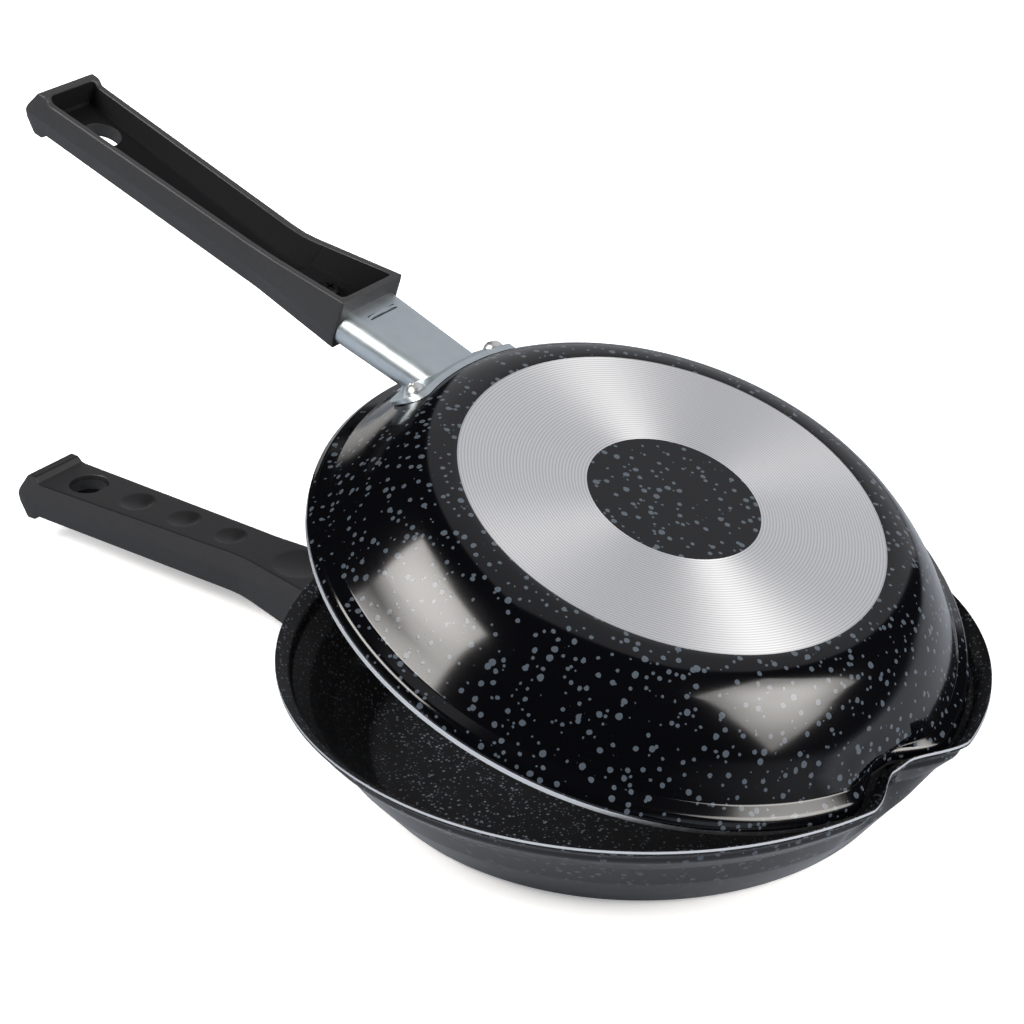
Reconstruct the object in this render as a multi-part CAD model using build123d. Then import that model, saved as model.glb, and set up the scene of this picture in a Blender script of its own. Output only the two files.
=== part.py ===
"""Double sided flip pan: two pressed pans whose rims nest, each with its own bracket and handle.

Lengths are in millimetres. The origin is the centre of the lower pan's resting base,
+Z is up, the handles run along -X and the pouring notch is at +X.
Each pan is modelled in a pan frame: lip plane at z = 0, bowl below it, handle along -X.
"""
from build123d import *
import math
import os

# Pressed sheet of both pans.
sheet = 1.6
lip_bend = 1.5

# Lower pan: runs and drops of the inner wall from the rim to the floor.
rim_radius = 120.0
lip_run = 4.8
lip_drop = 3.5
seat_draft = 0.6
seat_height = 3.0
shoulder_run = 5.8
shoulder_drop = 5.9
lower_flank_run = 7.6
lower_flank_drop = 11.3
lower_belly_run = 13.9
lower_depth = 42.0
lower_base_bend = 9.5

# Upper pan: its rim drops into the lower pan's seat.
seat_gap = 0.45
seat_lift = 0.25
upper_lip_run = 3.4
upper_lip_drop = 3.4
upper_neck_run = 0.4
upper_neck_drop = 1.6
upper_ledge_run = 4.2
upper_ledge_drop = 1.6
upper_flank_run = 11.3
upper_flank_drop = 16.0
upper_belly_run = 13.8
upper_depth = 36.5
upper_base_bend = 22.4
belly_bend = 18.0

# Machined ring on each base, cut through the coating: it starts where the upper base goes flat.
ring_inset = 8.25
ring_width = 43.2
ring_cut = 0.2

# Pouring notch, pressed into both rims at the same place.
notch_angle = -4.3
notch_push = 11.0
notch_half_angle = 14.5
notch_flat_angle = 2.5
notch_sections = 11

# How the upper pan tips: about a line across the notch.
hinge_inset = 18.44
hinge_lift = 1.6
rest_opening = 18.87

# Bracket: zinc-plated steel folded to a flat tube, with a riveted T-shaped flange.
steel = 1.5
flange_gap = 0.15
tube_width_at_handle = 31.0
tube_width_at_pan = 27.5
tube_height = 13.0
tube_side_flat = 1.0
tube_below_parting = 1.9
flange_margin = 2.0
ear_half_span = 28.0
ear_height = 12.0
bridge_from_handle = 6.0
bridge_span = 14.0
bridge_width = 2.2
bridge_rise = 0.9
tang_width = 18.0
tang_length = 28.0
tang_above_parting = 0.0
bridge_slit = 0.55

# Rivets: flat head inside the pan, formed head outside.
rivet_half_spacing = 21.5
rivet_below_tube = 2.4
rivet_radius = 2.5
rivet_fit = 0.05
rivet_inner_head_radius = 5.0
rivet_inner_head = 1.0
rivet_inner_seat = 0.4
rivet_outer_head_radius = 3.5
rivet_outer_head = 2.3
rivet_dimple_radius = 1.2
rivet_hole_reach = 6.0

# Handle: moulded bakelite, open on the side that faces its pan's base.
handle_length = 153.4
bend_from_front = 39.8
foot_from_front = 143.2
lip_from_front = 148.7
lip_land = 3.7
face_at_front = 5.4
face_at_bend = 7.4
face_at_foot = 6.0
face_at_lip = 8.6
rim_at_front = 14.4
rim_at_bend = 7.9
rim_at_foot = 7.5
rim_at_lip = 9.4
half_width_front = 16.3
half_width_bend = 12.0
half_width_tip = 14.2
face_draft = 15.0
hollow_draft = 1.5
handle_wall = 2.6
floor_level = 1.8
floor_half_width_end = 10.6
floor_half_width_bend = 2.5
floor_half_width_front = 12.4
socket_gap = 0.3
socket_cover = 2.0
waist_bend = 60.0
back_bend = 30.0
corner_bend = 3.0
hollow_corner = 2.0
foot_bend = 1.5
lip_round = 1.0
edge_round = 0.8

# Hanging hole and finger dimples on the handle's face: place from the front, radius, depth.
hole_from_front = 127.6
hole_radius = 5.5
hole_mouth_radius = 7.5
hole_mouth_depth = 1.6
dimples = [(20.6, 10.0, 1.4), (54.3, 5.5, 1.1), (77.8, 6.25, 1.2), (101.9, 6.5, 1.3)]

# Self-tapping screw that holds the bracket's tang in the handle.
screw_from_front = 17.0
screw_radius = 1.75
screw_fit = 0.1
screw_head_radius = 3.6
screw_head = 2.2
screw_slot = 0.9

# Each handle's front face from the lower rim's edge, and its parting plane from its own lip plane.
lower_handle_gap = 7.4
lower_parting = 23.3
upper_handle_gap = 11.4
upper_parting = 20.4

# Allowances where one solid is built from overlapping pieces or trimmed from a longer one.
overlap = 2.0
strip_margin_angle = 3.0
disc_share = 0.5

closed_drop = lip_drop + seat_height - seat_lift
hinge_x = rim_radius - hinge_inset
hinge_z = lower_depth + hinge_lift
upper_rim_radius = rim_radius - lip_run - seat_draft - seat_gap
upper_base_radius = upper_rim_radius - (upper_lip_run + upper_neck_run + upper_ledge_run
                                        + upper_flank_run + upper_belly_run)
ring_outer_radius = upper_base_radius - ring_inset
ring_inner_radius = ring_outer_radius - ring_width
disc_radius = disc_share * ring_outer_radius


def running_corners(start_radius, steps):
    """Corner points of a wall that starts on the lip plane and follows runs and drops."""
    corners = [Vector(start_radius, 0)]
    for run, drop in steps:
        corners.append(corners[-1] - Vector(run, drop))
    return corners


def parallel(corners, gap):
    """Corners of the line that runs a gap outside the given wall line."""
    normals = [(b - a).normalized().rotate(Axis.Z, 90) for a, b in zip(corners, corners[1:])]
    line = [corners[0] - Vector(0, gap / abs(normals[0].Y))]
    for corner, one, two in zip(corners[1:], normals, normals[1:]):
        line.append(corner + (one + two) * (gap / (1 + one.dot(two))))
    line.append(corners[-1] + normals[-1] * gap)
    return line


class Wall:
    """Inner wall line of one pan, with the share of the notch's push at each corner."""

    def __init__(self, corners, shares, base_bend):
        self.corners = corners
        self.shares = shares
        self.bends = [lip_bend] * (len(corners) - 3) + [belly_bend, base_bend]

    def line(self, inner_radius, push=0.0):
        """Corners from the rim to a point on the floor, pushed in by the notch."""
        moved = [c - Vector(push * s, 0) for c, s in zip(self.corners, self.shares)]
        return moved + [Vector(inner_radius, moved[-1].Y)]

    def band(self, inner_radius, near, far, push=0.0):
        """Closed section between two lines that run outside the inner wall line."""
        line = self.line(inner_radius, push)
        inside = parallel(line, near) if near else line
        outside = parallel(line, far)
        near_bends = self.grown_bends(near)
        far_bends = self.grown_bends(far)
        bends = [0.0] + near_bends + [0.0, 0.0] + far_bends[::-1] + [0.0]
        return make_face(FilletPolyline(inside + outside[::-1], radius=bends, close=True))

    def grown_bends(self, gap):
        """Bend radii on a line outside the wall: the two large bends grow with the gap."""
        return self.bends[:-2] + [bend + gap for bend in self.bends[-2:]]

    def core(self, gap):
        """Solid inside a line that runs a gap outside the wall, below the shoulder."""
        line = parallel(self.line(0.0), gap)[-4:]
        bends = [0.0] + self.grown_bends(gap)[-2:] + [0.0, 0.0]
        top = Vector(0, line[0].Y)
        return revolve(Plane.XZ * make_face(FilletPolyline(line + [top], radius=bends, close=True)))

    def at_drop(self, drop):
        """Point of the inner wall line at a drop below the lip, and the wall's outward normal."""
        for a, b in zip(self.corners, self.corners[1:]):
            if -b.Y >= drop:
                share = (drop + a.Y) / (a.Y - b.Y)
                return a + (b - a) * share, (b - a).normalized().rotate(Axis.Z, 90)


def round_axis(section, degrees):
    """A section drawn in radius and height, stood up at an angle about the pan's axis."""
    turn = math.radians(degrees)
    plane = Plane((0, 0, 0), x_dir=(math.cos(turn), math.sin(turn), 0),
                  z_dir=(math.sin(turn), -math.cos(turn), 0))
    return plane * section


def notch_share(degrees):
    """Share of the notch's push at an angle from its middle: flat, then an S curve to nothing."""
    t = (notch_half_angle - abs(degrees)) / (notch_half_angle - notch_flat_angle)
    t = max(0.0, min(1.0, t))
    return t * t * (3 - 2 * t)


def pressed_pan(wall, depth, angle):
    """Pan pressed from one sheet, with the notch in its rim and the machined ring on its base."""
    rim_section = wall.band(disc_radius - overlap, 0.0, sheet)
    bowl = revolve(round_axis(rim_section, angle + notch_half_angle), Axis.Z,
                   360 - 2 * notch_half_angle)
    sections = []
    for step in range(notch_sections):
        offset = notch_half_angle * (2 * step / (notch_sections - 1) - 1)
        pushed = wall.band(disc_radius - overlap, 0.0, sheet, notch_push * notch_share(offset))
        sections.append(round_axis(pushed, angle + offset))
    floor = Pos(0, 0, -depth) * extrude(Circle(disc_radius), sheet)
    ring = Circle(ring_outer_radius) - Circle(ring_inner_radius)
    return bowl + loft(sections) + floor - Pos(0, 0, -depth) * extrude(ring, ring_cut)


def rivet_frames(wall, drop):
    """Frames of the two rivets: origin on the inner wall, local Z along the rivet, outwards."""
    point, normal = wall.at_drop(drop)
    turn = math.degrees(math.asin(rivet_half_spacing / (point.X + sheet)))
    frames = []
    for side in (-turn, turn):
        out = Vector(-normal.X, 0, normal.Y).rotate(Axis.Z, side)
        place = Vector(-point.X, 0, point.Y).rotate(Axis.Z, side)
        frames.append(Plane(place, z_dir=out))
    return frames


def rivet():
    """One rivet: flat head inside, shank through wall and flange, dimpled dome outside."""
    under_head = sheet + flange_gap + steel + rivet_fit
    inner = Pos(0, 0, -rivet_inner_seat) * extrude(Circle(rivet_inner_head_radius), -rivet_inner_head)
    shank = Pos(0, 0, -rivet_inner_seat) * extrude(Circle(rivet_radius), under_head + rivet_inner_seat)
    ball = (rivet_outer_head_radius ** 2 + rivet_outer_head ** 2) / (2 * rivet_outer_head)
    dome = Pos(0, 0, under_head + rivet_outer_head - ball) * Sphere(ball)
    dome = dome & Pos(0, 0, under_head) * extrude(Circle(rivet_outer_head_radius), rivet_outer_head)
    dimple = Pos(0, 0, under_head + rivet_outer_head) * Sphere(rivet_dimple_radius)
    return inner + shank + dome - dimple


def rivet_hole():
    """Clearance hole for a rivet's shank through wall and flange."""
    return Cylinder(rivet_radius + rivet_fit, 2 * rivet_hole_reach)


def bracket(wall, front, parting):
    """Folded steel bracket: tube, flange that follows the pan's wall, and the tang."""
    drop = parting + tube_below_parting
    point, _ = wall.at_drop(drop)
    handle_end = Plane((-front, 0, -drop), x_dir=(0, 1, 0), z_dir=(1, 0, 0))

    def tube(inset):
        near = (-front, tube_width_at_handle / 2 - inset)
        far = (tube_height - point.X, tube_width_at_pan / 2 - inset)
        plan = make_face(Polyline(near, far, (far[0], -far[1]), (near[0], -near[1]), close=True))
        block = extrude(plan, tube_height / 2 - inset, both=True)
        sides = block.edges().filter_by(Axis.Y, reverse=True).filter_by(Axis.Z, reverse=True)
        return Pos(0, 0, -drop) * fillet(sides, (tube_height - tube_side_flat) / 2 - inset)

    inner_face = sheet + flange_gap
    span = math.degrees(math.asin(ear_half_span / point.X)) + strip_margin_angle
    strip_section = wall.band(disc_radius, inner_face, inner_face + steel)
    strip = revolve(round_axis(strip_section, 180 - span), Axis.Z, 2 * span)
    collar = RectangleRounded(tube_width_at_pan + 2 * flange_margin,
                              tube_height + 2 * flange_margin, tube_height / 2)
    ears = Pos(0, -rivet_below_tube) * SlotOverall(2 * ear_half_span, ear_height)
    flange = strip & handle_end * extrude(collar + ears, front)
    shell = tube(0.0) - wall.core(inner_face + steel / 2)
    cap = handle_end * extrude(SlotOverall(tube_width_at_handle, tube_height), steel)
    body = shell + flange - tube(steel) + cap

    top = (-front + bridge_from_handle, 0, -drop - tube_height / 2)
    body -= Pos(top) * Box(bridge_width, bridge_span, 3 * steel)
    half = bridge_span / 2
    arch = make_face(Polyline((-half, -steel), (half, -steel), (half, 0)) +
                     ThreePointArc((half, 0), (0, bridge_rise), (-half, 0)) +
                     Line((-half, 0), (-half, -steel)))
    across = Plane(top, x_dir=(0, 1, 0), z_dir=(-1, 0, 0))
    bridge = across * extrude(arch, bridge_width / 2 - bridge_slit, both=True)
    tang = Pos(-front + steel / 2, 0, tang_above_parting - parting + steel)
    tang *= Box(tang_length + steel / 2, tang_width, 2 * steel, align=(Align.MAX, Align.CENTER, Align.CENTER))
    screw_way = Pos(-front - screw_from_front, 0, tang_above_parting - parting + steel)
    tang -= screw_way * Cylinder(screw_radius + screw_fit, 3 * steel)
    body = body + bridge + tang
    for frame in rivet_frames(wall, drop + rivet_below_tube):
        body -= frame * rivet_hole()
    return body


def handle_plan(front, bend, end, front_x, end_x, bends):
    """Plan of the handle at one level: widest at the front, waisted at the bend."""
    half = [(front_x, front), (-bend_from_front, bend), (end_x, end)]
    points = half + [(x, -y) for x, y in half[::-1]]
    return make_face(FilletPolyline(points, radius=bends + bends[::-1], close=True))


def handle():
    """Bakelite handle, with its front face at x = 0 and its parting plane at z = 0."""
    tallest = max(rim_at_front, face_at_lip) + overlap
    bends = [edge_round, waist_bend, corner_bend]
    plan = handle_plan(half_width_front, half_width_bend, half_width_tip, 0, -handle_length, bends)
    mould = extrude(plan, tallest, taper=face_draft) + extrude(plan, -tallest, taper=hollow_draft)
    side = [(0, face_at_front), (-bend_from_front, face_at_bend), (-foot_from_front, face_at_foot),
            (-lip_from_front + lip_land, face_at_lip), (-lip_from_front, face_at_lip),
            (-handle_length, 0), (-lip_from_front, -rim_at_lip), (-lip_from_front + lip_land, -rim_at_lip),
            (-foot_from_front, -rim_at_foot), (-bend_from_front, -rim_at_bend), (0, -rim_at_front)]
    upper_bends = [edge_round, back_bend, foot_bend, lip_round, edge_round]
    side_bends = upper_bends + [edge_round] + upper_bends[::-1]
    profile = make_face(FilletPolyline(side, radius=side_bends, close=True))
    body = mould & extrude(Plane.XZ * profile, half_width_front, both=True)

    end_x = handle_wall - handle_length
    hollow_bends = [hollow_corner, waist_bend, hollow_corner]
    mouth = handle_plan(half_width_front - handle_wall, half_width_bend - handle_wall,
                        half_width_tip - handle_wall, -handle_wall, end_x, hollow_bends)
    floor = handle_plan(floor_half_width_front, floor_half_width_bend, floor_half_width_end,
                        -handle_wall, end_x + handle_wall, hollow_bends)
    hollow = loft([Pos(0, 0, -tallest) * mouth, Pos(0, 0, floor_level) * floor], ruled=True)
    socket_end = tang_length + handle_wall
    socket_floor = tang_above_parting - socket_gap - socket_cover
    block = Pos(0, 0, socket_floor) * Box(socket_end, 2 * half_width_front, tallest,
                                          align=(Align.MAX, Align.CENTER, Align.MIN))
    body -= hollow - block
    socket = Box(2 * (tang_length + socket_gap), tang_width + 2 * socket_gap, 2 * (steel + socket_gap))
    body -= Pos(0, 0, tang_above_parting + steel) * socket
    body -= Pos(-screw_from_front, 0, socket_floor) * Cylinder(screw_radius + screw_fit, 4 * socket_cover)
    body -= Pos(-hole_from_front, 0, 0) * Cylinder(hole_radius, 4 * tallest)
    mouth_level = face_level(hole_from_front) - hole_mouth_depth
    body -= Pos(-hole_from_front, 0, mouth_level) * extrude(Circle(hole_mouth_radius), tallest)
    for place, radius, depth in dimples:
        ball = (radius ** 2 + depth ** 2) / (2 * depth)
        body -= Pos(-place, 0, face_level(place) - depth + ball) * Sphere(ball)
    return body


def face_level(place):
    """Height of the handle's face over the parting plane, at a distance from its front."""
    if place < bend_from_front:
        return face_at_front + (face_at_bend - face_at_front) * place / bend_from_front
    along = (place - bend_from_front) / (foot_from_front - bend_from_front)
    return face_at_bend + (face_at_foot - face_at_bend) * along


def handle_screw():
    """Pan-head screw: head on the hollow's floor, shank up through the tang."""
    socket_floor = tang_above_parting - socket_gap - socket_cover
    shank = extrude(Circle(screw_radius), socket_cover + socket_gap + 2 * steel)
    head = extrude(Circle(screw_head_radius), -screw_head)
    head = chamfer(head.faces().sort_by(Axis.Z)[0].edges(), screw_head / 3)
    slot = Pos(0, 0, -screw_head) * Box(screw_head_radius, screw_slot, screw_head)
    slot += Pos(0, 0, -screw_head) * Box(screw_slot, screw_head_radius, screw_head)
    return Pos(-screw_from_front, 0, socket_floor) * (shank + head - slot)


lower_wall = Wall(
    running_corners(rim_radius, [(lip_run, lip_drop), (seat_draft, seat_height),
                                 (shoulder_run, shoulder_drop), (lower_flank_run, lower_flank_drop),
                                 (lower_belly_run, lower_depth - sheet - lip_drop - seat_height
                                  - shoulder_drop - lower_flank_drop)]),
    [1.0, 1.0, 1.0, 0.75, 0.15, 0.0], lower_base_bend)
upper_wall = Wall(
    running_corners(upper_rim_radius, [(upper_lip_run, upper_lip_drop), (upper_neck_run, upper_neck_drop),
                                       (upper_ledge_run, upper_ledge_drop),
                                       (upper_flank_run, upper_flank_drop),
                                       (upper_belly_run, upper_depth - sheet - upper_lip_drop
                                        - upper_neck_drop - upper_ledge_drop - upper_flank_drop)]),
    [1.0, 1.0, 1.0, 0.95, 0.15, 0.0], upper_base_bend)


def assembly(wall, depth, angle, front, parting):
    """The five pieces of one pan, in the pan frame."""
    drop = parting + tube_below_parting + rivet_below_tube
    frames = rivet_frames(wall, drop)
    pan = pressed_pan(wall, depth, angle)
    for frame in frames:
        pan -= frame * rivet_hole()
    at_handle = Pos(-front, 0, -parting)
    return {
        "pan": pan,
        "bracket": bracket(wall, front, parting),
        "rivets": Compound([frame * rivet() for frame in frames]),
        "handle": at_handle * handle(),
        "handle_screw": at_handle * handle_screw(),
    }


about_hinge = Pos(hinge_x, 0, hinge_z) * Rot(0, rest_opening, 0) * Pos(-hinge_x, 0, -hinge_z)
closed = Pos(0, 0, lower_depth - closed_drop) * Rot(180, 0, 0)
places = {"lower": Pos(0, 0, lower_depth), "upper": about_hinge * closed}
pans = {
    "lower": assembly(lower_wall, lower_depth, notch_angle, rim_radius + lower_handle_gap, lower_parting),
    "upper": assembly(upper_wall, upper_depth, -notch_angle, rim_radius + upper_handle_gap, upper_parting),
}

os.makedirs("parts", exist_ok=True)
for side, pieces in pans.items():
    for name, piece in pieces.items():
        export_step(places[side] * piece, f"parts/{side}_{name}.step")
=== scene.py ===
import math
import bmesh
import bpy
from mathutils import Matrix, Vector


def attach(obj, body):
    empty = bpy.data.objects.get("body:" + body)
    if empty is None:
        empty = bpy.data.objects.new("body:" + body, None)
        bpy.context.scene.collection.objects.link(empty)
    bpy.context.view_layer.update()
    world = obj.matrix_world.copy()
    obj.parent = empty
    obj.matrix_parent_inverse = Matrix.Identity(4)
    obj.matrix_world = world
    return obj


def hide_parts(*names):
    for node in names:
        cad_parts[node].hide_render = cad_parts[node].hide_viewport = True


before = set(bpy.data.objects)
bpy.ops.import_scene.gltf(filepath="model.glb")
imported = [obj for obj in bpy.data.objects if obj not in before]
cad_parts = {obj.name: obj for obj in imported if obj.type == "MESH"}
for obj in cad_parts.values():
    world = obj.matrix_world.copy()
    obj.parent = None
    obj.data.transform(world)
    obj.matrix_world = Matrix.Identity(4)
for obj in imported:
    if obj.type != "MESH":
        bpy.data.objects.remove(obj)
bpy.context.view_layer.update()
MM = 0.001


# ---------------------------------------------------------------- the two pressed pans
# Each pan is one sheet of aluminium, pressed and sprayed with black non-stick enamel with
# blue-grey granite specks. Its trimmed edge and a ring turned on its base show bare metal.
# The lower pan has a seat under its lip, in which the upper pan's rim lies when closed.
SHEET = 1.6 * MM
RING_OUTER = 72.8 * MM
RING_INNER = 29.6 * MM
RING_GROOVES = 40
GROOVE_DEPTH = 0.11 * MM
# The enamel laps over the trimmed edge, this far from its inner and from its outer corner.
ENAMEL_LAP = (0.35 * MM, 0.75 * MM)
# The pouring notch is pushed in over a flat middle and fades out at its half angle.
NOTCH_PUSH = 11.0 * MM
NOTCH_ANGLE = math.radians(-4.3)
NOTCH_HALF_ANGLE = math.radians(12.8)
NOTCH_FLAT_ANGLE = math.radians(2.6)

# Corners of each pan's inner wall from the rim down: radius, height and bend radius in
# millimetres, and the share of the notch's push. The upper wall runs in one long curve.
EDGE_ROUND = 0.3
LOWER_WALL = [(120.0, 0.0, EDGE_ROUND, 1.0), (115.2, -3.5, 3.0, 1.0), (114.6, -6.5, 3.5, 1.0),
              (108.8, -12.4, 8.0, 0.75), (101.2, -23.7, 18.0, 0.15), (87.3, -40.4, 9.5, 0.0)]
UPPER_WALL = [(114.15, 0.0, EDGE_ROUND, 1.0), (112.3, -2.7, 2.0, 1.0), (111.5, -4.2, 3.3, 0.9),
              (107.2, -6.05, 1.5, 0.5), (102.97, -11.73, 0.0, 0.0), (94.85, -22.6, 80.0, 0.0),
              (81.05, -34.9, 22.4, 0.0)]

# The closed upper pan lies upside down with its rim just above the lower pan's seat. At rest
# it is tipped open about the front edge, where the two notches meet.
LOWER_LIP = 42.0 * MM
RIM_BELOW_LIP = 6.25 * MM
REST_OPENING = math.radians(18.87)
HINGE = Vector((101.56, 0, 43.6)) * MM


def parallel(corners, gap):
    """Corners of the line that runs a gap outside a wall line, cut upright at the rim."""
    steps = [(b - a).normalized() for a, b in zip(corners, corners[1:])]
    normals = [Vector((-step.y, step.x)) for step in steps]
    line = [corners[0] - Vector((0, gap / abs(normals[0].y)))]
    for corner, one, two in zip(corners[1:], normals, normals[1:]):
        line.append(corner + (one + two) * (gap / (1 + one.dot(two))))
    return line + [corners[-1] + normals[-1] * gap]


def turned_ring(level):
    """Zigzag of the turning grooves, from the ring's outer edge to its inner edge."""
    bottom, crest = 0.25, 0.75
    pitch = (RING_OUTER - RING_INNER) / RING_GROOVES
    points = [(RING_OUTER, level, 0, 0)]
    for groove in range(RING_GROOVES):
        edge = RING_OUTER - groove * pitch
        points.append((edge - bottom * pitch, level + GROOVE_DEPTH, 0, 0))
        points.append((edge - crest * pitch, level, 0, 0))
    return points + [(RING_INNER, level, 0, 0)]


def wall_zones(wall):
    """Zones of one pan's section, each a list of radius, height, bend radius and push share."""
    corners = [Vector((radius, height)) * MM for radius, height, _, _ in wall]
    bends = [bend * MM for _, _, bend, _ in wall]
    shares = [share for _, _, _, share in wall]
    floor = Vector((0, corners[-1].y))
    outer = parallel(corners + [floor], SHEET)
    grown = bends[:-2] + [bend + SHEET for bend in bends[-2:]]
    inside = [(c.x, c.y, bend, share) for c, bend, share in zip(corners, bends, shares)]
    outside = [(c.x, c.y, bend, share) for c, bend, share in zip(outer, grown, shares)]
    rim = corners[0].x
    edge = [(rim, -ENAMEL_LAP[0], 0, 1), (rim, outer[0].y + ENAMEL_LAP[1], 0, 1)]
    ring = turned_ring(outer[-1].y)
    centre = [ring[-1], (0, outer[-1].y, 0, 0)]
    return [[(0, floor.y, 0, 0)] + inside[::-1] + edge[:1], edge,
            edge[1:] + outside + ring[:1], ring, centre]


def linked(name, data):
    """Object with the given data, linked to the scene."""
    made = bpy.data.objects.new(name, data)
    bpy.context.scene.collection.objects.link(made)
    return made


def section_curve(name, zones):
    """Curve with one poly spline a zone: radius holds a point's bend, tilt its push share."""
    data = bpy.data.curves.new(name, "CURVE")
    data.dimensions = "3D"
    for zone in zones:
        spline = data.splines.new("POLY")
        spline.points.add(len(zone) - 1)
        for point, (radius, height, bend, share) in zip(spline.points, zone):
            point.co = (radius, -height, 0, 1)
            point.radius = bend
            point.tilt = share
    return linked(name, data)


def finished_mesh(source):
    """Plain mesh of an object with its modifiers carried out. The object is removed."""
    bpy.context.view_layer.update()
    seen = source.evaluated_get(bpy.context.evaluated_depsgraph_get())
    mesh = bpy.data.meshes.new_from_object(seen)
    bpy.data.objects.remove(source)
    return mesh


def node(tree, kind, **values):
    """Adds a node: plain words set its properties, in_0, in_1 ... set or link its inputs."""
    made = tree.nodes.new(kind)
    for word, value in values.items():
        if not word.startswith("in_"):
            setattr(made, word, value)
    for word, value in values.items():
        if word.startswith("in_"):
            key = word[3:]
            socket = made.inputs[int(key)] if key.isdigit() else made.inputs[key.replace("_", " ")]
            if isinstance(value, bpy.types.NodeSocket):
                tree.links.new(value, socket)
            else:
                socket.default_value = value
    return made


def maths(tree, operation, *values):
    """Output of a Math node."""
    inputs = {f"in_{i}": value for i, value in enumerate(values)}
    return node(tree, "ShaderNodeMath", operation=operation, **inputs).outputs[0]


def vectors(tree, operation, *values):
    """Output of a Vector Math node: a number where the operation gives one, or else a vector."""
    inputs = {f"in_{i}": value for i, value in enumerate(values)}
    made = node(tree, "ShaderNodeVectorMath", operation=operation, **inputs)
    return made.outputs[1 if operation in ("LENGTH", "DISTANCE", "DOT_PRODUCT") else 0]


def spread(tree, value, low, high, first=0.0, last=1.0, kind="LINEAR"):
    """Output of a Map Range node that turns low ... high into first ... last."""
    return node(tree, "ShaderNodeMapRange", interpolation_type=kind, in_0=value,
                in_1=low, in_2=high, in_3=first, in_4=last).outputs[0]


def soft_shaded(tree, shape, weld, crease_angle):
    """Welds a mesh and shades it smooth except across edges past the crease angle."""
    joined = node(tree, "GeometryNodeMergeByDistance", in_Geometry=shape, in_Distance=weld)
    smooth = node(tree, "GeometryNodeSetShadeSmooth", in_Geometry=joined.outputs[0])
    angle = tree.nodes.new("GeometryNodeInputMeshEdgeAngle").outputs[0]
    crease = node(tree, "FunctionNodeCompare", operation="GREATER_THAN", in_0=angle, in_1=crease_angle)
    return node(tree, "GeometryNodeSetShadeSmooth", domain="EDGE", in_Geometry=smooth.outputs[0],
                in_Selection=crease.outputs[0], in_Shade_Smooth=False).outputs[0]


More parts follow.
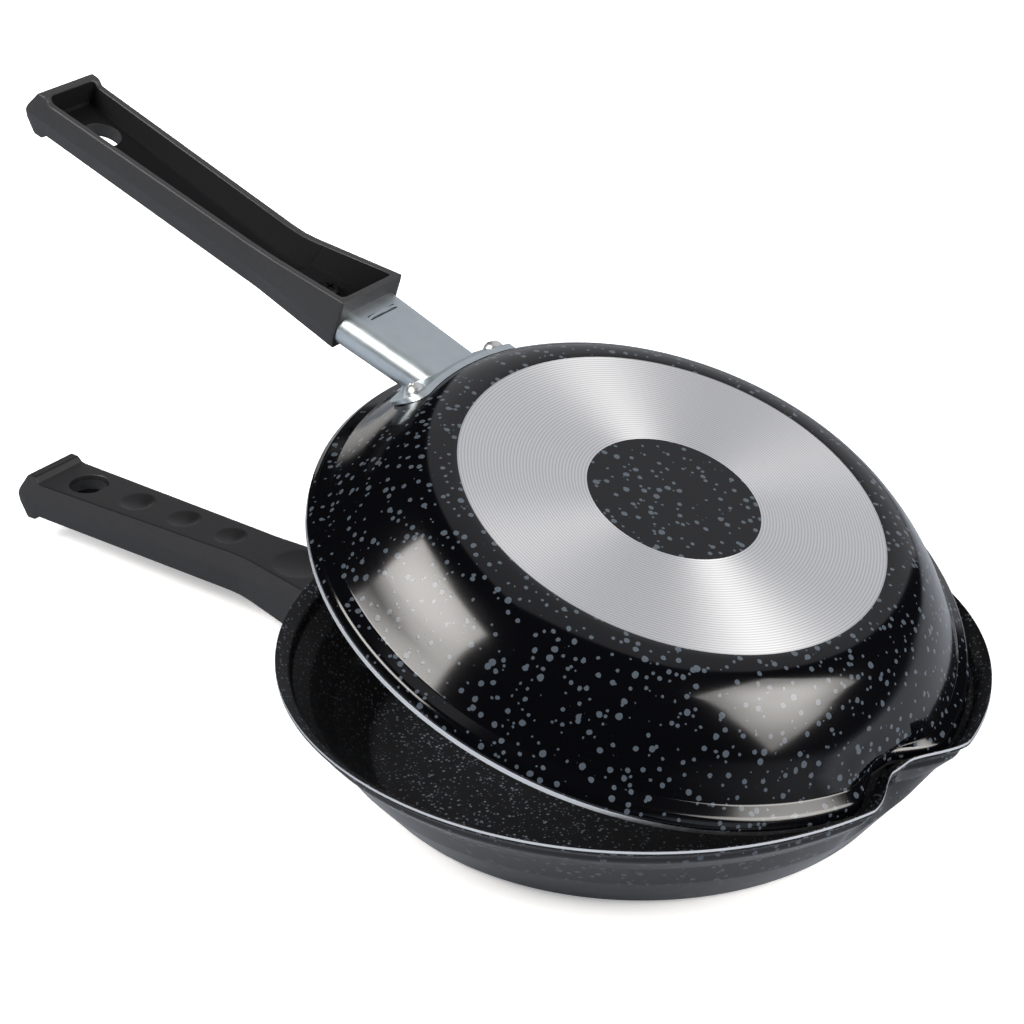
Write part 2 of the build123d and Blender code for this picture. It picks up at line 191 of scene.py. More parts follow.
def spun_wall_tree():
    """Turns a section curve round the pan's axis, presses the notch and puts the pan in place."""
    steps_round = 360
    bend_steps = 7
    hub = 1 * MM
    weld = 0.001 * MM
    crease_angle = math.radians(40)

    tree = bpy.data.node_groups.new("spun_wall", "GeometryNodeTree")
    sockets = tree.interface
    sockets.new_socket("Section", in_out="INPUT", socket_type="NodeSocketGeometry")
    for name in ("Push", "Angle", "Half angle", "Flat angle"):
        sockets.new_socket(name, in_out="INPUT", socket_type="NodeSocketFloat")
    for name in ("Place", "Turn"):
        sockets.new_socket(name, in_out="INPUT", socket_type="NodeSocketVector")
    for name in ("Inside", "Edge", "Outside", "Ring"):
        sockets.new_socket(name, in_out="INPUT", socket_type="NodeSocketMaterial")
    sockets.new_socket("Pan", in_out="OUTPUT", socket_type="NodeSocketGeometry")
    given = tree.nodes.new("NodeGroupInput").outputs

    # Each spline keeps its number and each point its share, and the corners are rounded.
    zone = node(tree, "GeometryNodeCaptureAttribute", domain="CURVE", in_0=given["Section"])
    zone.capture_items.new("INT", "Zone")
    tree.links.new(tree.nodes.new("GeometryNodeInputIndex").outputs[0], zone.inputs[1])
    share = node(tree, "GeometryNodeCaptureAttribute", domain="POINT", in_0=zone.outputs[0])
    share.capture_items.new("FLOAT", "Share")
    tree.links.new(tree.nodes.new("GeometryNodeInputCurveTilt").outputs[0], share.inputs[1])
    bends = tree.nodes.new("GeometryNodeInputRadius").outputs[0]
    rounded = node(tree, "GeometryNodeFilletCurve", in_Curve=share.outputs[0], in_Radius=bends)
    if "Mode" in rounded.inputs:
        rounded.inputs["Mode"].default_value = "Poly"
    else:
        rounded.mode = "POLY"
    rounded.inputs["Count"].default_value = bend_steps
    rounded.inputs["Limit Radius"].default_value = True

    # The section runs round a small hub circle, so it is first moved in by the hub's radius.
    shifted = node(tree, "GeometryNodeSetPosition", in_Geometry=rounded.outputs[0],
                   in_Offset=(-hub, 0, 0))
    path = node(tree, "GeometryNodeCurvePrimitiveCircle", in_Resolution=steps_round, in_Radius=hub)
    spun = node(tree, "GeometryNodeCurveToMesh", in_Curve=path.outputs[0], in_1=shifted.outputs[0])

    # The notch is pushed in towards the axis, deepest over its flat middle.
    position = tree.nodes.new("GeometryNodeInputPosition").outputs[0]
    split = node(tree, "ShaderNodeSeparateXYZ", in_0=position).outputs
    turned = maths(tree, "ARCTAN2", split[1], split[0])
    off = maths(tree, "ABSOLUTE", maths(tree, "SUBTRACT", turned, given["Angle"]))
    curved, straight = [spread(tree, off, given["Half angle"], given["Flat angle"], kind=kind)
                        for kind in ("SMOOTHSTEP", "LINEAR")]
    round_share = maths(tree, "MULTIPLY", maths(tree, "ADD", curved, straight), 0.5)
    push = maths(tree, "MULTIPLY", round_share, share.outputs[1])
    push = maths(tree, "MULTIPLY", push, given["Push"])
    flat = node(tree, "ShaderNodeCombineXYZ", in_0=split[0], in_1=split[1]).outputs[0]
    offset = node(tree, "ShaderNodeVectorMath", operation="SCALE",
                  in_0=vectors(tree, "NORMALIZE", flat), in_Scale=maths(tree, "MULTIPLY", push, -1.0))
    pressed = node(tree, "GeometryNodeSetPosition", in_Geometry=spun.outputs[0],
                   in_Offset=offset.outputs[0])
    placed = node(tree, "GeometryNodeTransform", in_Geometry=pressed.outputs[0],
                  in_Translation=given["Place"], in_Rotation=given["Turn"])

    # The ring lies between two zones of outside enamel, so its metal is set after theirs.
    shape = placed.outputs[0]
    for first, last, finish in ((0, 0, "Inside"), (1, 1, "Edge"), (2, 4, "Outside"), (3, 3, "Ring")):
        above = maths(tree, "GREATER_THAN", zone.outputs[1], first - 0.5)
        below = maths(tree, "LESS_THAN", zone.outputs[1], last + 0.5)
        shape = node(tree, "GeometryNodeSetMaterial", in_Geometry=shape, in_Material=given[finish],
                     in_Selection=maths(tree, "MULTIPLY", above, below)).outputs[0]
    whole = node(tree, "GeometryNodeRealizeInstances", in_0=shape).outputs[0]
    out = tree.nodes.new("NodeGroupOutput")
    tree.links.new(soft_shaded(tree, whole, weld, crease_angle), out.inputs[0])
    return tree


def new_material(name):
    """Material with an empty tree and a Principled shader wired to its output."""
    made = bpy.data.materials.new(name)
    made.use_nodes = True
    tree = made.node_tree
    tree.nodes.clear()
    shader = tree.nodes.new("ShaderNodeBsdfPrincipled")
    out = tree.nodes.new("ShaderNodeOutputMaterial")
    tree.links.new(shader.outputs[0], out.inputs[0])
    return made, tree, shader


def noise(tree, where, scale, detail):
    """Outputs of a Noise Texture node, with its scale in patches a metre."""
    return node(tree, "ShaderNodeTexNoise", in_Vector=where, in_Scale=scale, in_Detail=detail).outputs


def blend(tree, factor, first, last):
    """Colour between two colours, each given as red, green and blue."""
    return node(tree, "ShaderNodeMix", data_type="RGBA", in_0=factor,
                in_6=(*first, 1), in_7=(*last, 1)).outputs[2]


def specks(tree, where, size, share, smallest, largest):
    """Mask of round specks with a soft edge, one in a share of the cells of a cellular pattern."""
    scatter = 0.85
    soft_edge = 0.12 * MM
    cells = node(tree, "ShaderNodeTexVoronoi", voronoi_dimensions="3D", in_Vector=where,
                 in_Scale=1 / size, in_Randomness=scatter)
    chance = node(tree, "ShaderNodeSeparateColor", in_0=cells.outputs["Color"]).outputs[0]
    radius = spread(tree, chance, 1 - share, 1.0, smallest / size, largest / size)
    there = maths(tree, "GREATER_THAN", chance, 1 - share)
    inside = maths(tree, "SUBTRACT", radius, cells.outputs["Distance"])
    return maths(tree, "MULTIPLY", there, spread(tree, inside, 0.0, soft_edge / size))


def granite_enamel(name, layers, roughness, ior, black, speck):
    """Black sprayed enamel with layers of specks that stand slightly proud of it.

    A layer is the size of its cells, the share of cells that hold a speck, and the specks'
    smallest and largest radius.
    """
    wobble_scale, wobble_reach = 420.0, 0.7 * MM
    cloud_scale, uneven = 60.0, 0.15
    skin_scale, skin_height, speck_height = 350.0, 0.25, 0.4
    relief, relief_strength = 0.05 * MM, 0.15
    made, tree, shader = new_material(name)
    shader.inputs["IOR"].default_value = ior
    where = tree.nodes.new("ShaderNodeTexCoord").outputs["Object"]
    wobble = noise(tree, where, wobble_scale, 1.0)["Color"]
    centred = vectors(tree, "SUBTRACT", wobble, (0.5, 0.5, 0.5))
    bent = vectors(tree, "MULTIPLY_ADD", centred, (wobble_reach,) * 3, where)
    mask = None
    for layer in layers:
        spots = specks(tree, bent, *layer)
        mask = spots if mask is None else maths(tree, "MAXIMUM", mask, spots)
    tree.links.new(blend(tree, mask, black, speck), shader.inputs["Base Color"])
    cloud = noise(tree, where, cloud_scale, 3.0)["Fac"]
    rough = spread(tree, cloud, 0.0, 1.0, roughness * (1 - uneven), roughness * (1 + uneven))
    tree.links.new(rough, shader.inputs["Roughness"])
    skin = maths(tree, "MULTIPLY", noise(tree, where, skin_scale, 2.0)["Fac"], skin_height)
    height = maths(tree, "ADD", maths(tree, "MULTIPLY", mask, speck_height), skin)
    bump = node(tree, "ShaderNodeBump", in_Strength=relief_strength, in_Distance=relief,
                in_Height=height)
    tree.links.new(bump.outputs[0], shader.inputs["Normal"])
    return made


def bare_aluminium(name, centre, axis, roughness, anisotropy, groove_shade, crest_highlight):
    """Turned aluminium with tool marks round the pan's axis: painted shade in a groove, painted
    highlight on a crest.
    """
    edge_shade_margin = (0.5 * MM, 0.8 * MM)
    made, tree, shader = new_material(name)
    shader.inputs["Metallic"].default_value = 1.0
    shader.inputs["Roughness"].default_value = roughness
    shader.inputs["Anisotropic"].default_value = anisotropy
    where = tree.nodes.new("ShaderNodeTexCoord").outputs["Object"]
    around = vectors(tree, "CROSS_PRODUCT", axis, vectors(tree, "SUBTRACT", where, centre))
    radial = vectors(tree, "NORMALIZE", vectors(tree, "CROSS_PRODUCT", around, axis))
    tangent = node(tree, "ShaderNodeVectorTransform", vector_type="VECTOR", convert_from="OBJECT",
                   convert_to="WORLD", in_0=radial).outputs[0]
    tree.links.new(tangent, shader.inputs["Tangent"])
    # Painted light in the colour: a painted highlight on each crest, painted shade in each groove, and
    # painted shade along the ring's outer edge for the shadow of its step.
    inward = maths(tree, "SUBTRACT", RING_OUTER, vectors(tree, "LENGTH", around))
    waves = math.tau * RING_GROOVES / (RING_OUTER - RING_INNER)
    groove = maths(tree, "SINE", maths(tree, "MULTIPLY", inward, waves))
    line = spread(tree, groove, -1.0, 1.0, 1.0, 0.0)
    painted_lines = maths(tree, "MULTIPLY", line, spread(tree, inward, *edge_shade_margin))
    tree.links.new(blend(tree, painted_lines, groove_shade, crest_highlight), shader.inputs["Base Color"])
    return made


outside_enamel = granite_enamel(
    "outside_enamel", roughness=0.11, ior=1.42,
    layers=[(3.8 * MM, 0.97, 0.75 * MM, 1.2 * MM), (2.8 * MM, 0.6, 0.4 * MM, 0.7 * MM)],
    black=(0.0014, 0.0015, 0.0022), speck=(0.056, 0.069, 0.085))
inside_enamel = granite_enamel(
    "inside_enamel", roughness=0.45, ior=1.3,
    layers=[(1.9 * MM, 0.95, 0.35 * MM, 0.62 * MM), (1.4 * MM, 0.7, 0.2 * MM, 0.42 * MM)],
    black=(0.0012, 0.0014, 0.0022), speck=(0.14, 0.16, 0.19))

about_hinge = (Matrix.Translation(HINGE) @ Matrix.Rotation(REST_OPENING, 4, "Y")
               @ Matrix.Translation(-HINGE))
closed = Matrix.Translation((0, 0, LOWER_LIP - RIM_BELOW_LIP)) @ Matrix.Rotation(math.pi, 4, "X")
place = {"lower": Matrix.Translation((0, 0, LOWER_LIP)), "upper": about_hinge @ closed}

pan_tree = spun_wall_tree()
for side, wall, angle in (("lower", LOWER_WALL, NOTCH_ANGLE), ("upper", UPPER_WALL, -NOTCH_ANGLE)):
    shift, turn, _ = place[side].decompose()
    axis = turn @ Vector((0, 0, 1))
    rim_metal = bare_aluminium(
        side + "_rim_metal", shift, axis, roughness=0.33, anisotropy=0.0,
        groove_shade=(0.8, 0.8, 0.8), crest_highlight=(0.8, 0.8, 0.8))
    # The ring's colour carries painted highlights on its crests and painted shade in its grooves; the
    # rim's metal is one even colour.
    ring_metal = bare_aluminium(
        side + "_ring_metal", shift, axis, roughness=0.36, anisotropy=0.8,
        groove_shade=(0.72, 0.72, 0.73), crest_highlight=(0.985, 0.985, 0.985))
    section = section_curve(side + "_section", wall_zones(wall))
    modifier = section.modifiers.new("spin", "NODES")
    modifier.node_group = pan_tree
    settings = {"Push": NOTCH_PUSH, "Angle": angle,
                "Half angle": NOTCH_HALF_ANGLE, "Flat angle": NOTCH_FLAT_ANGLE,
                "Place": tuple(shift), "Turn": tuple(turn.to_euler()),
                "Inside": inside_enamel, "Edge": rim_metal,
                "Outside": outside_enamel, "Ring": ring_metal}
    for item in pan_tree.interface.items_tree:
        if item.in_out == "INPUT" and item.name in settings:
            modifier[item.identifier] = settings[item.name]
    pan = linked(side + "_pan_skin", finished_mesh(section))
    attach(pan, side + "_half")
    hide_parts(side + "_pan")


# ---------------------------------------------------------------- brackets, rivets and screws
# Each bracket is a steel tube, folded flat at both ends and zinc-plated. Two rivets hold its
# flange to the wall of the pan, and a black self-tapping screw holds its tang in the handle.
# Their shapes are the frame's own: here they get soft shading and their metals.
def soft_shading_tree():
    """Welds the loose triangles of a piece and keeps its real edges crisp."""
    weld = 0.002 * MM
    crease_angle = math.radians(28)
    tree = bpy.data.node_groups.new("soft_shading", "GeometryNodeTree")
    tree.interface.new_socket("Mesh", in_out="INPUT", socket_type="NodeSocketGeometry")
    tree.interface.new_socket("Mesh", in_out="OUTPUT", socket_type="NodeSocketGeometry")
    given = tree.nodes.new("NodeGroupInput").outputs
    out = tree.nodes.new("NodeGroupOutput")
    tree.links.new(soft_shaded(tree, given[0], weld, crease_angle), out.inputs[0])
    return tree


def plated(name, colour, roughness):
    """Metal with slightly cloudy colour and gloss."""
    cloud_scale = 220.0
    darker = 0.88
    glossier, rougher = 0.8, 1.25
    made, tree, shader = new_material(name)
    where = tree.nodes.new("ShaderNodeTexCoord").outputs["Object"]
    shader.inputs["Metallic"].default_value = 1.0
    cloud = noise(tree, where, cloud_scale, 4.0)["Fac"]
    rough = spread(tree, cloud, 0.0, 1.0, roughness * glossier, roughness * rougher)
    tree.links.new(rough, shader.inputs["Roughness"])
    tint = blend(tree, cloud, [channel * darker for channel in colour], colour)
    tree.links.new(tint, shader.inputs["Base Color"])
    return made


shading = soft_shading_tree()
finishes = {"bracket": plated("zinc_plate", (0.58, 0.64, 0.67), 0.38),
            "rivets": plated("rivet_metal", (0.85, 0.86, 0.87), 0.36),
            "handle_screw": plated("black_oxide", (0.015, 0.015, 0.015), 0.55)}
for name, finish in finishes.items():
    for side in ("lower", "upper"):
        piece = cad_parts[f"{side}_{name}"]
        piece.data.materials.clear()
        piece.data.materials.append(finish)
        piece.modifiers.new("soft_shading", "NODES").node_group = shading


# ---------------------------------------------------------------- the two handles
# Each handle is one bakelite moulding, hollow on the side that faces its pan's base. Its two mould
# halves part along the middle of its sides, and it has finger dimples, a hanging hole and an end
# lip. All sizes here are millimetres, with the front at x = 0 and the parting plane at z = 0.
HANDLE_PLACE = {"lower": (-127.4, -23.3), "upper": (-131.4, -20.4)}
HANDLE_END = -153.4
FRONT_ROUND = 0.6
EDGE_SOFTNESS = 0.55

# Height of the finger face, height of the hollow's rim and half the width, each along the handle.
FACE_LINE = [(0, 5.4), (-34, 7.1), (-39.8, 7.25), (-46, 7.32), (-142.0, 6.0), (-143.2, 6.3),
             (-144.6, 8.2), (-145.3, 8.6), (-148.2, 8.6), (-148.9, 8.1), (HANDLE_END, 0.4)]
RIM_LINE = [(0, -14.4), (-34, -8.9), (-39.8, -8.15), (-46, -7.9), (-142.0, -7.5), (-143.2, -7.8),
            (-144.6, -9.0), (-145.3, -9.4), (-148.2, -9.4), (-148.9, -8.9), (HANDLE_END, -0.4)]
SIDE_LINE = [(0, 16.3), (-36, 12.41), (-39.8, 12.15), (-43.6, 12.07), (-151.9, 14.17),
             (-152.9, 13.7), (HANDLE_END, 12.6)]
FACE_DRAFT = math.tan(math.radians(15))
RIM_DRAFT = math.tan(math.radians(1.5))

# The hollow, with half the width of its floor along the handle, and the tang's socket in its front.
HANDLE_WALL = 2.6
HOLLOW_FRONT, HOLLOW_BACK = -2.6, -145.2
HOLLOW_CORNER = 1.6
HOLLOW_FLOOR_LINE = [(-2.9, 12.3), (-39.8, 3.2), (-145, 10.3)]
SOCKET_BACK, SOCKET_FLOOR = -30.6, -2.3

# The hanging hole, and the place, radius and depth of each finger dimple.
HOLE_PLACE, HOLE_RADIUS, HOLE_MOUTH = -127.6, 7.0, 7.8
DIMPLES = [(-20.6, 10.0, 1.4), (-54.3, 6.0, 1.3), (-77.8, 6.3, 1.35), (-101.9, 6.7, 1.45)]


def along(line, x):
    """Value of a line of places and values, sorted towards the handle's end."""
    for (x0, v0), (x1, v1) in zip(line, line[1:]):
        if x >= x1:
            return v0 + (v1 - v0) * (x0 - x) / (x0 - x1)
    return line[-1][1]


def quarter_round(radius, distance):
    """How far a quarter round lies back from its side, at a distance from its end."""
    left = max(0, radius - max(0, distance))
    return radius - math.sqrt(radius ** 2 - left ** 2)


def dimple_depth(x, y):
    """Depth of the finger dimples under the handle's face."""
    for place_x, radius, depth in DIMPLES:
        away = (x - place_x) ** 2 + y * y
        if away < radius * radius:
            ball = (radius * radius + depth * depth) / (2 * depth)
            return math.sqrt(ball * ball - away) - ball + depth
    return 0


def handle_section(x):
    """Half of the handle's section at a distance from its front, from the face to the hollow."""
    face_steps = 16
    inset = quarter_round(FRONT_ROUND, -x)
    half = along(SIDE_LINE, x) - inset
    face = along(FACE_LINE, x) - inset
    rim = along(RIM_LINE, x) + inset
    face_half = half - face * FACE_DRAFT
    rim_half = half + rim * RIM_DRAFT

    # Both edges are softly rounded, and the parting line between them stays sharp.
    soft = min(EDGE_SOFTNESS, 0.8 * face)
    flat = face_half - soft
    points = [(y, face - dimple_depth(x, y))
              for y in [flat * i / face_steps for i in range(face_steps + 1)]]
    points += [(face_half + y * soft, face + z * soft) for y, z in ((-0.1, -0.24), (0.2, -1.0))]
    points.append((half, 0))
    points += [(rim_half + y * soft, rim + z * soft)
               for y, z in ((0, 1.4), (-0.2, 0.5), (-0.6, 0.1), (-1.2, 0))]

    # The hollow narrows from its rounded mouth to its floor, and its end walls slope steeply.
    inside = min(x - HOLLOW_BACK, HOLLOW_FRONT - x)
    cut = quarter_round(HOLLOW_CORNER, inside)
    mouth = rim_half - HANDLE_WALL - cut
    floor = SOCKET_FLOOR if x > SOCKET_BACK else 0
    widest, narrowest = mouth - 0.3, 1.2
    floor_half = max(min(along(HOLLOW_FLOOR_LINE, x), widest), narrowest) - 0.5 * cut
    depth = floor - rim
    end_wall = [(1.4, depth), (0.45, depth - 0.9), (0, 0.4), (-0.12, 0.12), (-0.5, 0)]
    deepest = rim + along(end_wall, inside)
    slope = (floor_half - mouth) / depth
    wall = [(mouth + 0.5, rim), (mouth + 0.14, rim + 0.12), (mouth + 0.4 * slope, rim + 0.4),
            (floor_half - 0.9 * slope, floor - 0.9), (floor_half - 0.25, floor - 0.22),
            (floor_half - 1.0, floor), (0, floor)]
    return points + [(y, min(z, deepest)) for y, z in wall]


def handle_stations():
    """Distances from the front at which the handle's section is drawn, closest at each corner."""
    end_wall = (-0.5, -0.12, 0, 0.45, 0.8, 1.4, 1.6)
    even_step, hole_step = 0.65, 2.5
    places = [0, -0.08, -0.25, -FRONT_ROUND, HANDLE_END, SOCKET_BACK + 0.01, SOCKET_BACK - 0.4]
    places += [HOLLOW_FRONT - step for step in end_wall]
    places += [HOLLOW_BACK + step for step in end_wall]
    places += [x for line in (FACE_LINE, SIDE_LINE) for x, _ in line]
    places += [-even_step * i for i in range(7, 180)]
    places += [-120 - hole_step * i for i in range(9)]
    return sorted(set(places), reverse=True)


def tube_faces(count, rings):
    """Faces between rings of points, and the two faces that close the ends."""
    faces = []
    for start in range(0, (rings - 1) * count, count):
        faces += [[start + i, start + (i + 1) % count,
                   start + count + (i + 1) % count, start + count + i] for i in range(count)]
    return faces + [list(range(count))[::-1], list(range((rings - 1) * count, rings * count))]


def solid(name, rings):
    """Object of a closed solid through rings of points, with its faces pointing outwards."""
    mesh = bpy.data.meshes.new(name)
    points = [point for ring in rings for point in ring]
    mesh.from_pydata(points, [], tube_faces(len(rings[0]), len(rings)))
    shape = bmesh.new()
    shape.from_mesh(mesh)
    bmesh.ops.recalc_face_normals(shape, faces=shape.faces)
    shape.to_mesh(mesh)
    shape.free()
    return linked(name, mesh)


def hole_cutter():
    """Solid of the hanging hole: stepped under the face and rounded where it meets the hollow."""
    steps_round = 72
    face = along(FACE_LINE, HOLE_PLACE)
    step = face - 1.6
    profile = [(HOLE_RADIUS + 1.6, -1), (HOLE_RADIUS + 0.8, 0), (HOLE_RADIUS + 0.2, 0.3),
               (HOLE_RADIUS, 0.8), (HOLE_RADIUS, step), (HOLE_MOUTH, step),
               (HOLE_MOUTH, face - 0.25), (HOLE_MOUTH + 0.4, face + 0.1)]
    turns = [math.tau * i / steps_round for i in range(steps_round)]
    return solid("hole", [[(HOLE_PLACE + radius * math.cos(turn), radius * math.sin(turn), z)
                           for turn in turns] for radius, z in profile])


def painted_light_zone(centre, normal):
    """Number of a face's zone of painted light: 0 for the sides, 1 in the hollow, 2 on the finger
    face.
    """
    sides, hollow, finger_face = 0, 1, 2
    above_rim, hollow_top, face_low = 0.5, 0.4, 3.0
    rim = along(RIM_LINE, centre.x)
    mouth = along(SIDE_LINE, centre.x) + rim * RIM_DRAFT - HANDLE_WALL + 0.1
    in_mouth = HOLLOW_BACK < centre.x < HOLLOW_FRONT and abs(centre.y) < mouth
    if in_mouth and rim + above_rim < centre.z < hollow_top and normal.z < 0.5:
        return hollow
    return finger_face if centre.z > face_low and normal.z > 0.8 else sides


def moulded_handle(name):
    """Mesh of one handle, drilled and shaded, with a painted-light zone number on each face."""
    crease_angle = math.radians(35)
    weld = 0.001
    inside_of_sides = 11.0
    rings = []
    for x in handle_stations():
        half = handle_section(x)
        other_half = [(-y, z) for y, z in half[-2:0:-1]]
        rings.append([(x, y, z) for y, z in half + other_half])
    body = solid(name, rings)
    hole = hole_cutter()
    drilled = body.modifiers.new("hole", "BOOLEAN")
    drilled.object = hole
    drilled.solver = "EXACT"
    mesh = finished_mesh(body)
    bpy.data.objects.remove(hole)
    shape = bmesh.new()
    shape.from_mesh(mesh)
    bmesh.ops.remove_doubles(shape, verts=shape.verts, dist=weld)
    for face in shape.faces:
        face.smooth = True
        # Each face takes its copy of the bakelite: painted light on the sides, painted shade in the
        # hollow and on the finger face.
        face.material_index = painted_light_zone(face.calc_center_median(), face.normal)
    for edge in shape.edges:
        ends = [vert.co for vert in edge.verts]
        parting = all(abs(end.z) < weld and abs(end.y) > inside_of_sides for end in ends)
        if parting or edge.calc_face_angle(0) > crease_angle:
            edge.smooth = False
    shape.to_mesh(mesh)
    shape.free()
    return mesh


def bakelite(name, colour, roughness, specular):
    """Black bakelite with a fine grain in its colour and its skin."""
    grain_scale, contrast = 1400.0, 0.4
    relief, relief_strength = 0.05 * MM, 0.25
    made, tree, shader = new_material(name)
    where = tree.nodes.new("ShaderNodeTexCoord").outputs["Object"]
    grain = noise(tree, where, grain_scale, 3.0)["Fac"]
    dark = [channel * (1 - contrast) for channel in colour]
    pale = [channel * (1 + contrast) for channel in colour]
    tree.links.new(blend(tree, grain, dark, pale), shader.inputs["Base Color"])
    shader.inputs["Roughness"].default_value = roughness
    shader.inputs["Specular IOR Level"].default_value = specular
    bump = node(tree, "ShaderNodeBump", in_Strength=relief_strength, in_Distance=relief,
                in_Height=grain)
    tree.links.new(bump.outputs[0], shader.inputs["Normal"])
    return made


# In the order of the zone numbers: one bakelite in lit and shaded copies. The sides are the palest,
# with painted light; the hollow is the dullest, with painted shade; the finger face is smoother and
# darker, with painted shade.
lit_and_shaded_bakelite = [bakelite("bakelite_sides_painted_light", (0.02, 0.02, 0.0215), 0.5, 0.5),
                   bakelite("bakelite_hollow_painted_shade", (0.005, 0.0052, 0.006), 0.7, 0.08),
                   bakelite("bakelite_face_painted_shade", (0.008, 0.008, 0.009), 0.42, 0.3)]
moulding = moulded_handle("moulded_handle")
for side, (front, parting) in HANDLE_PLACE.items():
    mesh = moulding.copy()
    front_place = Matrix.Translation((front * MM, 0, parting * MM))
    mesh.transform(place[side] @ front_place @ Matrix.Scale(MM, 4))
    for finish in lit_and_shaded_bakelite:
        mesh.materials.append(finish)
    grip = linked(side + "_handle_skin", mesh)
    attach(grip, side + "_half")
    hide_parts(side + "_handle")


# ---------------------------------------------------------------- floor, light and camera
# The floor and the room look white. Glossy surfaces see what a studio has: a white card overhead
# behind the pan, bounded by three straight edges, a low wall on the right that fades towards the
# front, two softboxes, a dim side panel, and darkness elsewhere.
FLOOR_REACH = 4.0
FLOOR_SEEN = (0.93, 0.93, 0.93)
FLOOR_LIGHTING = (0.39, 0.42, 0.47)
FLOOR_FADE, FLOOR_GLOW = (0.2, 0.6), (0.35, 1.0)
# Directions square to the card's edges and to the wall's top, and the spans of a direction over
# which the wall fades in: below its top, towards the right, and from the front to the back.
CARD_EDGES = [(0.692, 0.705, 0.157), (-0.681, 0.723, 0.119), (-0.916, 0.051, 0.399)]
CARD_BLUR = 0.02
WALL_TOP = (-0.048, 0.298, 0.953)
WALL_TOP_BLUR = (0.045, 0.015)
WALL_RIGHT = (0.5, 0.8)
WALL_FRONT = (-0.6, 0.2)
CARD_GLOW, ROOM_GLOW, GLOSSY_DARK = 0.58, 0.35, 0.012
ROOM_TINT = (0.97, 0.98, 1.03)
LAMP_TINT = (1.0, 0.97, 0.93)
WHITE = (1, 1, 1)

square = [(x * FLOOR_REACH, y * FLOOR_REACH, 0) for x, y in ((-1, -1), (1, -1), (1, 1), (-1, 1))]
floor = linked("floor", bpy.data.meshes.new("floor"))
floor.data.from_pydata(square, [], [(0, 1, 2, 3)])
paper, tree, shader = new_material("paper")
shader.inputs["Roughness"].default_value = 0.9
shader.inputs["Specular IOR Level"].default_value = 0.0
seen = tree.nodes.new("ShaderNodeLightPath").outputs["Is Camera Ray"]
tree.links.new(blend(tree, seen, FLOOR_LIGHTING, FLOOR_SEEN), shader.inputs["Base Color"])
away = vectors(tree, "LENGTH", tree.nodes.new("ShaderNodeTexCoord").outputs["Object"])
fade = spread(tree, away, *FLOOR_FADE, *FLOOR_GLOW)
shader.inputs["Emission Color"].default_value = (*WHITE, 1)
tree.links.new(maths(tree, "MULTIPLY", fade, seen), shader.inputs["Emission Strength"])
floor.data.materials.append(paper)

world = bpy.data.worlds.new("studio")
bpy.context.scene.world = world
world.use_nodes = True
tree = world.node_tree
tree.nodes.clear()
rays = tree.nodes.new("ShaderNodeLightPath").outputs
way = tree.nodes.new("ShaderNodeTexCoord").outputs["Generated"]
card = None
for edge in CARD_EDGES:
    beyond = spread(tree, vectors(tree, "DOT_PRODUCT", way, edge), 0.0, CARD_BLUR)
    card = beyond if card is None else maths(tree, "MULTIPLY", card, beyond)
below_top = spread(tree, vectors(tree, "DOT_PRODUCT", way, WALL_TOP), *WALL_TOP_BLUR)
across, towards_back, _ = node(tree, "ShaderNodeSeparateXYZ", in_0=way).outputs
wall = maths(tree, "MULTIPLY", below_top, spread(tree, across, *WALL_RIGHT))
wall = maths(tree, "MULTIPLY", wall, spread(tree, towards_back, *WALL_FRONT))
lit = maths(tree, "MAXIMUM", card, wall)
glossy = spread(tree, lit, 0.0, 1.0, GLOSSY_DARK, CARD_GLOW)
soft = node(tree, "ShaderNodeMix", in_0=rays["Is Glossy Ray"], in_2=ROOM_GLOW, in_3=glossy).outputs[0]
glow = node(tree, "ShaderNodeMix", in_0=rays["Is Camera Ray"], in_2=soft, in_3=1.0).outputs[0]
tint = blend(tree, rays["Is Camera Ray"], ROOM_TINT, WHITE)
background = node(tree, "ShaderNodeBackground", in_0=tint, in_1=glow)
out = tree.nodes.new("ShaderNodeOutputWorld")
tree.links.new(background.outputs[0], out.inputs[0])


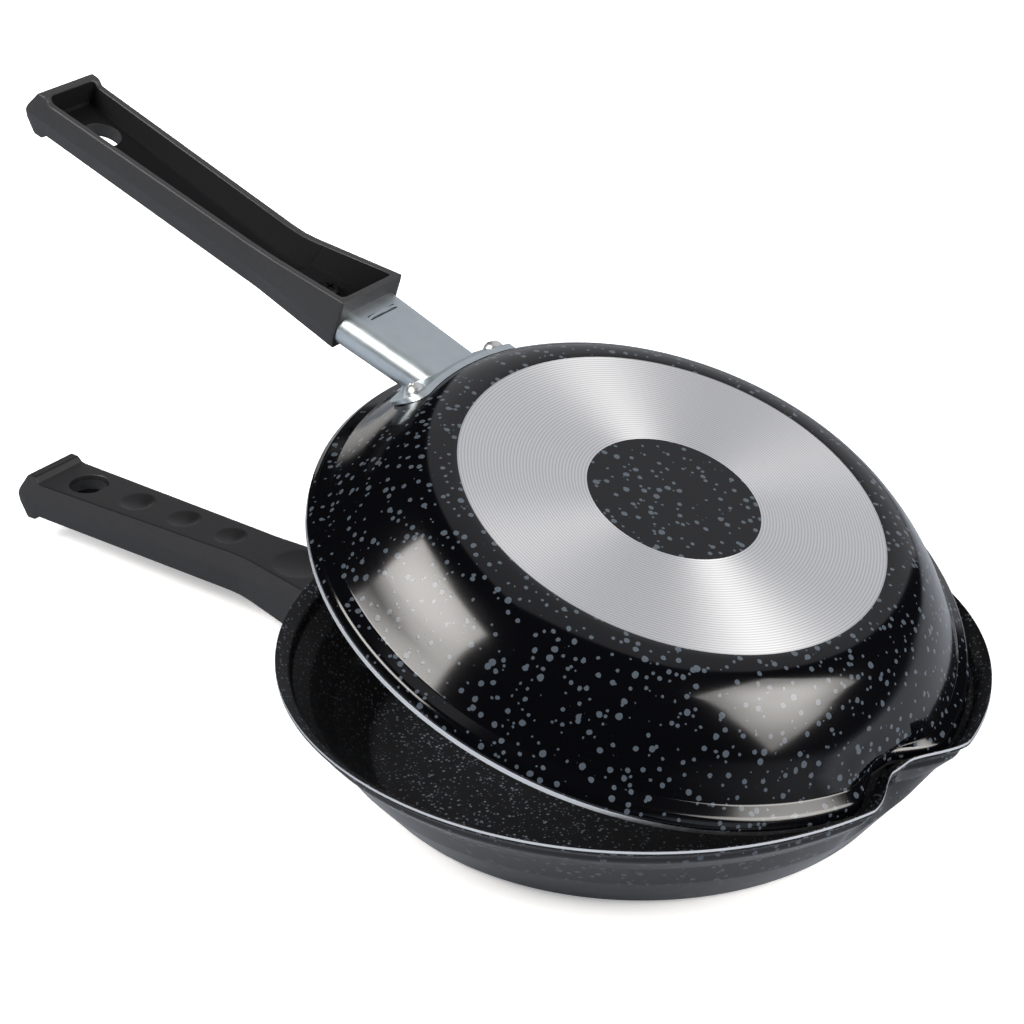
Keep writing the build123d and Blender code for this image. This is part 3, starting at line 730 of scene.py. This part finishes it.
def softbox(name, way, seen_in, width, height, radiance, rim, spin=0):
    """Rectangular lamp in a given direction from the place that mirrors it, dimmer at its rim.

    Width and height are given for a distance of one metre, and spin in degrees.
    """
    distance = 1.4
    even_middle, fade_end = 0.15, 0.6
    lamp = bpy.data.lights.new(name, "AREA")
    lamp.shape = "RECTANGLE"
    lamp.size, lamp.size_y = width * distance, height * distance
    lamp.energy = math.pi * lamp.size * lamp.size_y * radiance
    lamp.color = LAMP_TINT
    lamp.use_nodes = True
    tree = lamp.node_tree
    across = tree.nodes.new("ShaderNodeNewGeometry").outputs["Parametric"]
    off = vectors(tree, "DISTANCE", across, (0.5, 0.5, 0))
    fade = spread(tree, off, even_middle, fade_end, 1.0, rim, kind="SMOOTHSTEP")
    tree.links.new(fade, tree.nodes["Emission"].inputs["Strength"])
    box = linked(name, lamp)
    box.location = Vector(seen_in) + Vector(way).normalized() * distance
    facing = Vector(way).to_track_quat("Z", "Y").to_matrix()
    box.rotation_euler = (facing @ Matrix.Rotation(math.radians(spin), 3, "Z")).to_euler()


softbox("left_softbox", way=(-0.471, -0.556, 0.688), seen_in=(-0.01, -0.095, 0.095),
        width=0.73, height=0.345, radiance=18, rim=0.75)
softbox("right_softbox", way=(0.838, 0.232, 0.497), seen_in=(0.085, -0.045, 0.07),
        width=0.74, height=0.64, radiance=15, rim=0.4, spin=12)
softbox("side_panel", way=(-0.848, 0.530, 0.03), seen_in=(-0.08, -0.03, 0.11),
        width=0.34, height=0.18, radiance=1.1, rim=0.6)

EYE = Vector((456.62, -683.25, 522.89)) * MM
TARGET = Vector((-91.26, 54.48, 42.0)) * MM
ROLL = math.radians(0.392)

camera = linked("camera", bpy.data.cameras.new("camera"))
camera.data.lens = 99.17
camera.data.sensor_width = 36.0
back = (EYE - TARGET).normalized()
level_right = Vector((0, 0, 1)).cross(back).normalized()
level_up = back.cross(level_right)
right = level_right * math.cos(ROLL) + level_up * math.sin(ROLL)
up = level_up * math.cos(ROLL) - level_right * math.sin(ROLL)
turned = Matrix((right, up, back)).transposed().to_4x4()
camera.matrix_world = Matrix.Translation(EYE) @ turned
bpy.context.scene.camera = camera
bpy.context.scene.view_settings.view_transform = "Standard"
